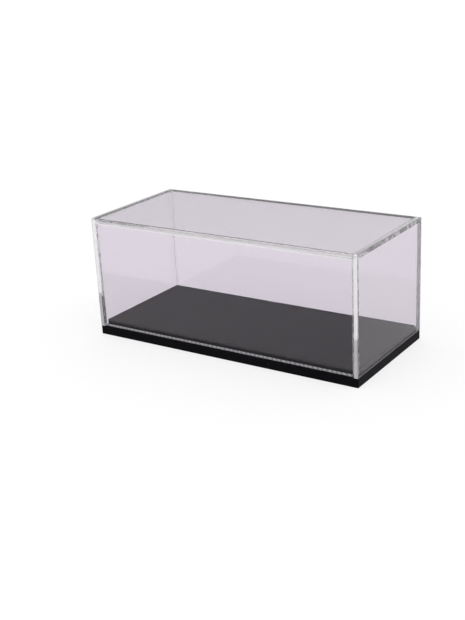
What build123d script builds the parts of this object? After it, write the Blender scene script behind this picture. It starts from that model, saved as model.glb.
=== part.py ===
from build123d import *
import os

# Display case for a small scale model: a clear cover that lifts straight off a flat base.
# The cover is five flat sheets, cemented edge to edge.
# Millimetres. +X runs along the length, -Y is the front and +Z is up.
# The origin is the centre of the base's underside.

# Overall sizes
case_length = 163.0
case_depth = 73.0
case_height = 68.0

# Base
base_thickness = 5.0
base_edge_break = 0.4

# Cover
sheet_thickness = 3.0
eased_edge_radius = 1.2
sawn_edge_bevel = 0.8
end_edge_break = 0.2

# Platform that stands on the base and keeps the cover in place
platform_height = 3.5
platform_clearance = 0.25
platform_corner_radius = 1.0
platform_edge_break = 0.3

# Sizes that follow from the ones above
inner_length = case_length - 2 * sheet_thickness
inner_depth = case_depth - 2 * sheet_thickness
platform_length = inner_length - 2 * platform_clearance
platform_depth = inner_depth - 2 * platform_clearance


def base_plate():
    """Flat plate. Its rim, outside the platform, is the ledge that the cover stands on."""
    plate = Box(case_length, case_depth, base_thickness, align=(Align.CENTER, Align.CENTER, Align.MIN))
    corners = plate.edges().filter_by(Axis.Z)
    upper_edges = plate.faces().sort_by(Axis.Z)[-1].edges()
    return chamfer(corners + upper_edges, base_edge_break)


def platform():
    """Raised plate that the model stands on. It fits inside the cover with a gap all round."""
    outline = RectangleRounded(platform_length, platform_depth, platform_corner_radius)
    plate = extrude(outline, platform_height)
    upper_edges = plate.faces().sort_by(Axis.Z)[-1].edges()
    return Pos(0, 0, base_thickness) * chamfer(upper_edges, platform_edge_break)


def eased_outline(foot):
    """End view of the cover's outside, from a height up to its top, with the two top edges eased."""
    height = case_height - foot
    square = Pos(0, foot + height / 2) * Rectangle(case_depth, height)
    top_corners = square.vertices().group_by(Axis.Y)[-1]
    return fillet(top_corners, eased_edge_radius)


def along_length(outline, start, length):
    """Extrude an end view along +X from a start position."""
    end_plane = Plane(origin=(start, 0, 0), x_dir=(0, 1, 0), z_dir=(1, 0, 0))
    return extrude(end_plane * outline, length)


def top_panel():
    """Roof. It lies on the upper edges of the front and back panels, between the end panels."""
    return along_length(eased_outline(case_height - sheet_thickness), -inner_length / 2, inner_length)


def upright_panel(side):
    """Long wall, from the ledge up to the roof. side is -1 at the front, 1 at the back."""
    middle = side * (case_depth - sheet_thickness) / 2
    wall_height = case_height - sheet_thickness - base_thickness
    wall = Box(inner_length, sheet_thickness, wall_height, align=(Align.CENTER, Align.CENTER, Align.MIN))
    outer_face = wall.faces().sort_by(Axis.Y)[-1 if side > 0 else 0]
    outer_lower_edge = outer_face.edges().sort_by(Axis.Z)[0]
    return Pos(0, middle, base_thickness) * chamfer(outer_lower_edge, sawn_edge_bevel)


def end_panel(side):
    """Short wall over the ends of the other three panels. side is -1 at the left, 1 at the right."""
    inner_face = side * inner_length / 2
    outer_face = side * case_length / 2
    panel = along_length(eased_outline(base_thickness), min(inner_face, outer_face), sheet_thickness)
    outer = panel.faces().sort_by(Axis.X)[-1 if side > 0 else 0]
    rim = [edge for edge in outer.edges() if edge.center().Z > base_thickness + 0.1]
    return chamfer(rim, end_edge_break)


nodes = {
    "base_plate": base_plate(),
    "platform": platform(),
    "top_panel": top_panel(),
    "front_panel": upright_panel(-1),
    "back_panel": upright_panel(1),
    "left_panel": end_panel(-1),
    "right_panel": end_panel(1),
}

os.makedirs("parts", exist_ok=True)
for name, shape in nodes.items():
    export_step(shape, f"parts/{name}.step")
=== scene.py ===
import math

import bmesh
import bpy
from mathutils import Euler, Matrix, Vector


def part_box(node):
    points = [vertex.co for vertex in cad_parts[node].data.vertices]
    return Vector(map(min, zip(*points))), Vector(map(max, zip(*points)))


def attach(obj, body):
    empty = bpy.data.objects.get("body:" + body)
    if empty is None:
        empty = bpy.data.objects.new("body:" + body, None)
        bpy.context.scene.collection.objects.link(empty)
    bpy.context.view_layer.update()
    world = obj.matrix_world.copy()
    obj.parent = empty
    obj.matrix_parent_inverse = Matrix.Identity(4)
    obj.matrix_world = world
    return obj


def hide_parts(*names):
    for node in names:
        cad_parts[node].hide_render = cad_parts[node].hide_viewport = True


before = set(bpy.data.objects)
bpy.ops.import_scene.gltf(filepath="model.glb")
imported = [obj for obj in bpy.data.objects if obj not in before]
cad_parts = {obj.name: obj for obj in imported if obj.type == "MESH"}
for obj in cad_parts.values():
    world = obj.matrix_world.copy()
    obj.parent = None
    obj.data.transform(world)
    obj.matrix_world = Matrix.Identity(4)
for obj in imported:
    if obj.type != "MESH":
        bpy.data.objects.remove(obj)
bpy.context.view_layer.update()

MM = 0.001

# ---------- sizes from the frame ----------
base_low, base_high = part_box("base_plate")
plat_low, plat_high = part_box("platform")
roof_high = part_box("top_panel")[1]
right_low, right_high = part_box("right_panel")

sheet = right_high.x - right_low.x
half_length = base_high.x
half_depth = base_high.y
ledge_z = base_high.z
top_z = roof_high.z

# ---------- sizes that belong to the looks ----------
eased = 1.2 * MM              # radius of the front and back top edges
rest_gap = 0.03 * MM          # air under the sawn edges, which stand on the ledge
joint_gap = 0.01 * MM         # between the two faces of a cemented joint
wall_foot = ledge_z + rest_gap
foot_bevel = 0.8 * MM         # outer lower edge of the long walls
saw_marks = 1.0 * MM          # how far the saw marks run up the wall above the bevel
rim_round = 0.25 * MM         # round on the outer rim of the end sheets
seam_strip = 0.8 * MM         # strip of that rim beside the seam, clearer than the rest

# ---------- tones and light ----------
SHEET_IOR = 1.49
CLEAR_TINT = (0.850, 0.818, 0.862, 1)
EDGE_TINT = (1.0, 0.99, 1.0, 1)
EDGE_CLARITY = 0.6            # the rest of the light scatters at a polished cut edge
BASE_SPECULAR = 0.05
PLATFORM_SPECULAR = 0.07
FLOOR_GLOW = 0.70
FLOOR_MIRRORED = 0.44         # brightness of the floor as polished faces mirror it
LOW_SKY, HIGH_SKY = 0.52, 1.15

# ---------- camera ----------
CAMERA_PLACE_MM = (288.50, -441.06, 210.57)
CAMERA_AZIMUTH, CAMERA_DOWN, CAMERA_ROLL = 34.578, 20.270, -3.018    # degrees
CAMERA_LENS = 59.12


# ---------- materials ----------
class Tree:
    """Short names for building one material's nodes."""

    def __init__(self, name):
        self.mat = bpy.data.materials.new(name)
        self.mat.use_nodes = True
        self.nt = self.mat.node_tree
        self.bsdf = self.nt.nodes["Principled BSDF"]
        self.out = self.nt.nodes["Material Output"]
        self.coord = self.nt.nodes.new("ShaderNodeTexCoord").outputs["Object"]

    def put(self, socket, value):
        """Link a socket to another one, or give it a constant."""
        if hasattr(value, "is_linked"):
            self.nt.links.new(value, socket)
        else:
            socket.default_value = value

    def surface(self, name, value):
        self.put(self.bsdf.inputs[name], value)

    def moved(self, scale=(1, 1, 1), turn=(0, 0, 0)):
        """The object's coordinates, turned (in degrees) and stretched."""
        n = self.nt.nodes.new("ShaderNodeMapping")
        self.nt.links.new(self.coord, n.inputs["Vector"])
        n.inputs["Rotation"].default_value = [math.radians(a) for a in turn]
        n.inputs["Scale"].default_value = scale
        return n.outputs[0]

    def noise(self, scale, detail, rough, vector=None, distortion=0.0):
        n = self.nt.nodes.new("ShaderNodeTexNoise")
        self.nt.links.new(vector or self.coord, n.inputs["Vector"])
        n.inputs["Scale"].default_value = scale
        n.inputs["Detail"].default_value = detail
        n.inputs["Roughness"].default_value = rough
        n.inputs["Distortion"].default_value = distortion
        return n.outputs["Fac"]

    def cells(self, scale):
        """Distance to the nearest of a scatter of points."""
        n = self.nt.nodes.new("ShaderNodeTexVoronoi")
        n.feature = "F1"
        self.nt.links.new(self.coord, n.inputs["Vector"])
        n.inputs["Scale"].default_value = scale
        return n.outputs["Distance"]

    def ramp(self, value, low, high, to_low=0.0, to_high=1.0):
        n = self.nt.nodes.new("ShaderNodeMapRange")
        n.clamp = True
        self.nt.links.new(value, n.inputs["Value"])
        n.inputs["From Min"].default_value = low
        n.inputs["From Max"].default_value = high
        n.inputs["To Min"].default_value = to_low
        n.inputs["To Max"].default_value = to_high
        return n.outputs["Result"]

    def math(self, operation, a, b):
        n = self.nt.nodes.new("ShaderNodeMath")
        n.operation = operation
        self.put(n.inputs[0], a)
        self.put(n.inputs[1], b)
        return n.outputs[0]

    def blend(self, factor, a, b):
        """Colour between a and b. On the Mix node the colours are inputs 6 and 7, and the result is output 2."""
        n = self.nt.nodes.new("ShaderNodeMix")
        n.data_type = "RGBA"
        self.put(n.inputs["Factor"], factor)
        self.put(n.inputs[6], a)
        self.put(n.inputs[7], b)
        return n.outputs[2]

    def bump(self, height, distance, strength, normal=None):
        n = self.nt.nodes.new("ShaderNodeBump")
        n.inputs["Strength"].default_value = strength
        n.inputs["Distance"].default_value = distance
        self.nt.links.new(height, n.inputs["Height"])
        if normal is not None:
            self.nt.links.new(normal, n.inputs["Normal"])
        return n.outputs["Normal"]

    def specks(self, scale, low, high, patch_scale, patch_low, patch_high):
        """Dust: small round specks, only in some patches."""
        dots = self.ramp(self.cells(scale), low, high, 1.0, 0.0)
        patches = self.ramp(self.noise(patch_scale, 2, 0.5), patch_low, patch_high)
        return self.math("MULTIPLY", dots, patches)

    def shader_mix(self, factor, first, second):
        """Material surface between two shaders."""
        n = self.nt.nodes.new("ShaderNodeMixShader")
        self.put(n.inputs[0], factor)
        self.nt.links.new(first, n.inputs[1])
        self.nt.links.new(second, n.inputs[2])
        self.nt.links.new(n.outputs[0], self.out.inputs["Surface"])


def clear_face():
    """Polished face of the sheet: faint casting waves, hairline scratches and a little haze."""
    t = Tree("clear_face")
    waves = t.noise(60, 2, 0.4)
    fine = t.noise(900, 3, 0.6)
    scratches = [
        t.ramp(t.noise(1.0, 1, 0.3, t.moved((40, 2600, 2600), turn)), 0.735, 0.76)
        for turn in ((8, 14, 31), (-20, 5, -52))
    ]
    marks = t.math("MAXIMUM", scratches[0], scratches[1])
    haze = t.ramp(t.noise(140, 4, 0.6), 0.45, 0.8, 0.0, 0.02)
    relief = t.math("ADD", t.math("MULTIPLY", fine, 0.02), marks)
    t.surface("Roughness", t.math("ADD", haze, t.math("MULTIPLY", marks, 0.05)))
    t.surface("Normal", t.bump(relief, 0.0015 * MM, 0.3, t.bump(waves, 0.012 * MM, 0.5)))
    t.surface("Base Color", CLEAR_TINT)
    t.surface("IOR", SHEET_IOR)
    t.surface("Transmission Weight", 1.0)
    return t.mat


def polished_edge():
    """Cut edge of a sheet after polishing: clear and slightly milky, with a fine grain left in it."""
    t = Tree("polished_edge")
    grain = t.noise(1500, 3, 0.6)
    slow = t.noise(180, 3, 0.5)
    t.surface("Roughness", t.ramp(grain, 0.3, 0.8, 0.03, 0.16))
    t.surface("Normal", t.bump(slow, 0.04 * MM, 0.35, t.bump(grain, 0.003 * MM, 0.5)))
    t.surface("Base Color", EDGE_TINT)
    t.surface("IOR", SHEET_IOR)
    t.surface("Transmission Weight", EDGE_CLARITY)
    return t.mat


def sawn_edge():
    """Sawn lower edge: greyish, with slanting tooth marks whose colour carries painted shade in their valleys
    and painted light on their crests.
    """
    t = Tree("sawn_edge")
    teeth = t.nt.nodes.new("ShaderNodeTexWave")
    teeth.wave_type, teeth.bands_direction = "BANDS", "X"
    t.nt.links.new(t.moved((1, 1.0, 1.4), (0, 0, 38)), teeth.inputs["Vector"])
    teeth.inputs["Scale"].default_value = 150
    teeth.inputs["Distortion"].default_value = 2.5
    teeth.inputs["Detail"].default_value = 3
    teeth.inputs["Detail Scale"].default_value = 2.0
    grain = t.noise(2600, 4, 0.7)
    ridges = t.math("ADD", t.math("MULTIPLY", teeth.outputs["Fac"], 0.8), t.math("MULTIPLY", grain, 0.3))
    # Painted shade and light: the colour follows the tooth-mark relief, darker in its valleys and paler on its
    # crests.
    shaded_valley, lit_crest = (0.17, 0.165, 0.18, 1), (0.40, 0.39, 0.42, 1)
    t.surface("Base Color", t.blend(t.ramp(ridges, 0.2, 0.9), shaded_valley, lit_crest))
    t.surface("Roughness", t.ramp(ridges, 0.1, 1.0, 0.55, 0.25))
    t.surface("Normal", t.bump(ridges, 0.12 * MM, 0.8))
    t.surface("IOR", SHEET_IOR)
    t.surface("Transmission Weight", 0.0)
    return t.mat


def plain_joint():
    """Face inside a clean joint, where light crosses from sheet to sheet unhindered."""
    t = Tree("joint_plain")
    clear = t.nt.nodes.new("ShaderNodeBsdfTransparent")
    t.nt.nodes.remove(t.bsdf)
    t.nt.links.new(clear.outputs[0], t.out.inputs["Surface"])
    return t.mat


def cemented_joint(name, bubble_share, haze_low, haze_high):
    """Face inside a joint: light crosses it except where the cement is hazy or holds bubbles.

    The three numbers say how much of the light the bubbles, the thinnest haze and the thickest haze stop.
    """
    t = Tree(name)
    clear = t.nt.nodes.new("ShaderNodeBsdfTransparent")
    bubbles = t.ramp(t.cells(330), 0.42, 0.52, 1.0, 0.0)
    patches = t.ramp(t.noise(90, 3, 0.6), 0.30, 0.42)
    haze = t.ramp(t.noise(420, 4, 0.6), 0.35, 0.75, haze_low, haze_high)
    in_patches = t.math("MULTIPLY", bubbles, t.math("MULTIPLY", patches, bubble_share))
    share = t.math("MAXIMUM", in_patches, haze)
    t.surface("Base Color", t.blend(bubbles, (0.94, 0.94, 0.96, 1), (1.0, 1.0, 1.0, 1)))
    t.surface("Roughness", t.ramp(bubbles, 0, 1, 0.6, 0.25))
    t.surface("Transmission Weight", 0.15)
    t.shader_mix(share, clear.outputs[0], t.bsdf.outputs[0])
    return t.mat


def black_base():
    """Semi-gloss black plate: polishing swirls, a fine grain and a little dust."""
    t = Tree("black_base")
    swirl = t.noise(260, 5, 0.65, None, 1.2)
    grain = t.noise(4200, 3, 0.6)
    dust = t.specks(420, 0.05, 0.09, 70, 0.52, 0.64)
    black = t.blend(t.ramp(swirl, 0.3, 0.75), (0.0026, 0.0022, 0.0036, 1), (0.0050, 0.0044, 0.0064, 1))
    rough = t.ramp(swirl, 0.25, 0.8, 0.24, 0.40)
    t.surface("Base Color", t.blend(t.math("MULTIPLY", dust, 0.35), black, (0.20, 0.19, 0.20, 1)))
    t.surface("Roughness", t.math("ADD", rough, t.math("MULTIPLY", dust, 0.3)))
    t.surface("Normal", t.bump(swirl, 0.010 * MM, 0.4, t.bump(grain, 0.003 * MM, 0.35)))
    t.surface("Specular IOR Level", BASE_SPECULAR)
    return t.mat


def satin_platform():
    """Black plate with a fine moulded satin texture, slightly uneven in sheen, with a few dust specks."""
    t = Tree("satin_platform")
    pebble = t.noise(2300, 2, 0.5)
    cloud = t.ramp(t.noise(45, 4, 0.55), 0.3, 0.7)
    sheen = t.ramp(cloud, 0.0, 1.0, 0.44, 0.54)
    rub = t.ramp(t.noise(1.0, 2, 0.4, t.moved((60, 1900, 400), (0, 0, 24))), 0.66, 0.74)
    dust = t.specks(300, 0.035, 0.06, 55, 0.5, 0.66)
    tone = t.blend(cloud, (0.0080, 0.0050, 0.0110, 1), (0.0125, 0.0084, 0.0165, 1))
    t.surface("Base Color", t.blend(t.math("MULTIPLY", dust, 0.5), tone, (0.35, 0.34, 0.36, 1)))
    t.surface("Roughness", t.math("ADD", sheen, t.math("MULTIPLY", rub, -0.05)))
    t.surface("Normal", t.bump(pebble, 0.02 * MM, 0.35))
    t.surface("Specular IOR Level", PLATFORM_SPECULAR)
    return t.mat


def pale_floor():
    """Pale paper floor. Its own glow softens the contact shadow, and polished faces mirror it dimmer."""
    t = Tree("pale_floor")
    t.surface("Base Color", t.blend(t.noise(6, 3, 0.5), (0.318, 0.318, 0.320, 1), (0.328, 0.326, 0.328, 1)))
    t.surface("Roughness", t.ramp(t.noise(30, 3, 0.5), 0.3, 0.7, 0.8, 0.95))
    t.surface("Normal", t.bump(t.noise(2500, 3, 0.6), 0.01 * MM, 0.2))
    t.surface("Specular IOR Level", 0.0)
    t.surface("Emission Color", (1.0, 1.0, 1.0, 1))
    t.surface("Emission Strength", FLOOR_GLOW)
    dim = t.nt.nodes.new("ShaderNodeEmission")
    dim.inputs["Color"].default_value = (1.0, 0.96, 1.0, 1)
    dim.inputs["Strength"].default_value = FLOOR_MIRRORED
    path = t.nt.nodes.new("ShaderNodeLightPath")
    mirrored = t.math("MULTIPLY", path.outputs["Is Glossy Ray"], path.outputs["Is Reflection Ray"])
    t.shader_mix(mirrored, t.bsdf.outputs[0], dim.outputs[0])
    return t.mat


FACE, EDGE, SAWN, PLAIN, CEMENT, SEAM, BUBBLES, DENSE = range(8)
clear_set = [
    clear_face(), polished_edge(), sawn_edge(),
    plain_joint(),
    cemented_joint("joint_cement", 0.95, 0.25, 0.65),
    cemented_joint("joint_seam", 0.15, 0.02, 0.10),
    cemented_joint("joint_bubbles", 1.0, 0.36, 0.56),
    cemented_joint("joint_dense", 1.0, 0.80, 0.98),
]
base_look, platform_look = black_base(), satin_platform()


# ---------- shapes ----------
def true_normals(ob, limit=35):
    """Flats shade flat and rounds round: each corner takes the area-weighted normal of near-parallel faces."""
    mesh = ob.data
    at_vertex = [[] for _ in mesh.vertices]
    for poly in mesh.polygons:
        for v in poly.vertices:
            at_vertex[v].append(poly)
    limit = math.cos(math.radians(limit))
    normals = []
    for poly in mesh.polygons:
        for v in poly.vertices:
            total = Vector()
            for other in at_vertex[v]:
                if other.normal.dot(poly.normal) > limit:
                    total += other.normal * other.area
            normals.append(total.normalized())
    for poly in mesh.polygons:
        poly.use_smooth = True
    mesh.normals_split_custom_set(normals)


def arch_points(depth, foot, top, radius, steps=14):
    """End view of an arch as (y, z) points, from the front foot over the top to the back foot."""
    points = [(-depth, foot)]
    for side in (-1, 1):
        middle = Vector((side * (depth - radius), top - radius))
        for i in range(steps + 1):
            a = math.pi / 2 * i / steps
            if side < 0:
                points.append((middle.x - radius * math.cos(a), middle.y + radius * math.sin(a)))
            else:
                points.append((middle.x + radius * math.sin(a), middle.y + radius * math.cos(a)))
    points.append((depth, foot))
    return points


def new_piece(name, verts, faces, looks):
    """A clear piece from its corners, its faces and each face's place in clear_set."""
    mesh = bpy.data.meshes.new(name)
    mesh.from_pydata([tuple(v) for v in verts], [], faces)
    for mat in clear_set:
        mesh.materials.append(mat)
    for poly, look in zip(mesh.polygons, looks):
        poly.material_index = look
    mesh.update()
    ob = bpy.data.objects.new(name, mesh)
    bpy.context.scene.collection.objects.link(ob)
    return ob


def finish_mesh(ob, merge=False):
    """One closed skin with its faces outward, then exact normals."""
    bm = bmesh.new()
    bm.from_mesh(ob.data)
    if merge:
        bmesh.ops.remove_doubles(bm, verts=bm.verts, dist=1e-7)
    bmesh.ops.recalc_face_normals(bm, faces=bm.faces)
    bm.to_mesh(ob.data)
    bm.free()
    true_normals(ob)


def long_sheet(name, outline, looks, left_look, right_look):
    """A sheet between the end panels: its end view extruded along X. Its two ends are cemented faces."""
    x0, x1 = -half_length + sheet + joint_gap, half_length - sheet - joint_gap
    count = len(outline)
    verts = [Vector((x, y, z)) for x in (x0, x1) for y, z in outline]
    faces = []
    for i in range(count):
        after = (i + 1) % count
        faces.append((i, i + count, after + count, after))
    faces += [tuple(range(count)), tuple(range(2 * count - 1, count - 1, -1))]
    ob = new_piece(name, verts, faces, looks + [left_look, right_look])
    finish_mesh(ob)
    return ob


def roof_sheet():
    """The roof. Its underside rests on the long walls at the front and the back."""
    seat = top_z - sheet
    arch = arch_points(half_depth, seat, top_z, eased)
    inner = half_depth - sheet
    outline = arch + [(inner, seat), (-inner, seat)]
    looks = [EDGE] + [FACE] * (len(arch) - 3) + [EDGE] + [PLAIN, FACE, PLAIN]
    return long_sheet("roof_sheet", outline, looks, BUBBLES, BUBBLES)


def wall_sheet(name, side):
    """A long wall: cemented upper edge, sawn and bevelled lower edge, saw marks a little way up its outside."""
    seat = top_z - sheet - joint_gap
    outer, inner = side * half_depth, side * (half_depth - sheet)
    outline = [
        (inner, wall_foot),
        (outer - side * foot_bevel, wall_foot),
        (outer, wall_foot + foot_bevel),
        (outer, wall_foot + foot_bevel + saw_marks),
        (outer, seat),
        (inner, seat),
    ]
    left_look, right_look = (SEAM, DENSE) if side > 0 else (CEMENT, CEMENT)
    return long_sheet(name, outline, [SAWN, SAWN, SAWN, FACE, SEAM, FACE], left_look, right_look)


def end_sheet(name, side):
    """An end panel. Its inner face is split along the joint, and its rim is polished and slightly rounded."""
    outside = arch_points(half_depth, wall_foot, top_z, eased)
    rim = arch_points(half_depth - rim_round, wall_foot, top_z - rim_round, eased - rim_round)
    inside = arch_points(half_depth - sheet, wall_foot, top_z - sheet, 0.0)
    outer_x, inner_x = side * half_length, side * (half_length - sheet)
    rows = [[Vector((x, y, z)) for y, z in line]
            for x, line in ((inner_x, inside), (inner_x, outside), (inner_x + side * seam_strip, outside))]
    round_steps = 3
    for i in range(round_steps + 1):
        turn = math.pi / 2 * i / round_steps
        x = outer_x - side * rim_round * (1 - math.sin(turn))
        near = math.cos(turn)
        rows.append([Vector((x, yi + (yo - yi) * near, zi + (zo - zi) * near))
                     for (yo, zo), (yi, zi) in zip(outside, rim)])
    band_looks = [PLAIN, FACE, EDGE] + [FACE] * round_steps
    count = len(outside)
    verts = [v for row in rows for v in row]
    faces, looks = [], []
    for r, band_look in enumerate(band_looks):
        for i in range(count - 1):
            a, b = r * count + i, r * count + i + 1
            faces.append((a, b, b + count, a + count))
            looks.append(band_look)
    last = (len(rows) - 1) * count
    foot = [r * count for r in range(len(rows))]
    faces += [
        tuple(range(count)),
        tuple(range(last, last + count)),
        tuple(foot + [i + count - 1 for i in reversed(foot)]),
    ]
    ob = new_piece(name, verts, faces, looks + [FACE, FACE, SAWN])
    finish_mesh(ob, merge=True)
    return ob


def soft_block(name, low, high, corner, top_round, foot_round, look):
    """A plate with rounded upright corners, a rounded top edge and a lightly broken foot."""
    bm = bmesh.new()
    bmesh.ops.create_cube(bm, size=1.0)
    size = high - low
    for v in bm.verts:
        v.co = Vector((low[i] + (v.co[i] + 0.5) * size[i] for i in range(3)))
    upright = [e for e in bm.edges if abs(e.verts[0].co.z - e.verts[1].co.z) > size.z / 2]
    bmesh.ops.bevel(bm, geom=upright, offset=corner, segments=5, profile=0.5, affect="EDGES")
    top = [e for e in bm.edges if all(abs(v.co.z - high.z) < 1e-7 for v in e.verts)]
    bmesh.ops.bevel(bm, geom=top, offset=top_round, segments=3, profile=0.5, affect="EDGES")
    foot = [e for e in bm.edges if all(abs(v.co.z - low.z) < 1e-7 for v in e.verts)]
    bmesh.ops.bevel(bm, geom=foot, offset=foot_round, segments=2, profile=0.5, affect="EDGES")
    bmesh.ops.recalc_face_normals(bm, faces=bm.faces)
    mesh = bpy.data.meshes.new(name)
    bm.to_mesh(mesh)
    bm.free()
    mesh.materials.append(look)
    ob = bpy.data.objects.new(name, mesh)
    bpy.context.scene.collection.objects.link(ob)
    true_normals(ob)
    return ob


# ---------- the cover, the base and the platform ----------
cover = [
    (roof_sheet(), "top_panel"),
    (wall_sheet("front_wall", -1), "front_panel"),
    (wall_sheet("back_wall", 1), "back_panel"),
    (end_sheet("left_end", -1), "left_panel"),
    (end_sheet("right_end", 1), "right_panel"),
]
for piece, node in cover:
    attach(piece, "cover")
    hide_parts(node)

base = soft_block("base_block", base_low, base_high, 0.5 * MM, 0.4 * MM, 0.2 * MM, base_look)
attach(base, "base")
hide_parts("base_plate")
stand = soft_block("platform_block", plat_low, plat_high, 1.0 * MM, 0.35 * MM, 0.05 * MM, platform_look)
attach(stand, "base")
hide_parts("platform")

# ---------- floor and sky ----------
bpy.ops.mesh.primitive_plane_add(size=12, location=(0, 0, -0.05 * MM))
floor = bpy.context.object
floor.name = "floor"
floor.data.materials.append(pale_floor())

scene = bpy.context.scene
world = bpy.data.worlds.new("studio")
scene.world = world
world.use_nodes = True
wt = world.node_tree
sky = wt.nodes["Background"]
height = wt.nodes.new("ShaderNodeSeparateXYZ")
wt.links.new(wt.nodes.new("ShaderNodeTexCoord").outputs["Generated"], height.inputs[0])
rise = wt.nodes.new("ShaderNodeMapRange")
rise.interpolation_type = "SMOOTHSTEP"
wt.links.new(height.outputs["Z"], rise.inputs["Value"])
rise.inputs["From Min"].default_value = 0.25
rise.inputs["From Max"].default_value = 0.75
rise.inputs["To Min"].default_value = LOW_SKY
rise.inputs["To Max"].default_value = HIGH_SKY
wt.links.new(rise.outputs["Result"], sky.inputs["Strength"])
sky.inputs["Color"].default_value = (1.0, 0.995, 1.0, 1)

# ---------- camera and render settings ----------
azimuth, down = math.radians(CAMERA_AZIMUTH), math.radians(CAMERA_DOWN)
forward = Vector((-math.sin(azimuth) * math.cos(down), math.cos(azimuth) * math.cos(down), -math.sin(down)))
camera = bpy.data.objects.new("camera", bpy.data.cameras.new("camera"))
scene.collection.objects.link(camera)
camera.data.sensor_width = 36.0
camera.data.lens = CAMERA_LENS
camera.data.clip_start = 0.01
camera.location = Vector(CAMERA_PLACE_MM) * MM
camera.rotation_mode = "QUATERNION"
roll = Euler((0, 0, math.radians(CAMERA_ROLL))).to_quaternion()
camera.rotation_quaternion = forward.to_track_quat("-Z", "Y") @ roll
scene.camera = camera

scene.view_settings.view_transform = "Standard"
scene.cycles.max_bounces = 48
scene.cycles.transmission_bounces = 48
scene.cycles.glossy_bounces = 24
scene.cycles.transparent_max_bounces = 32
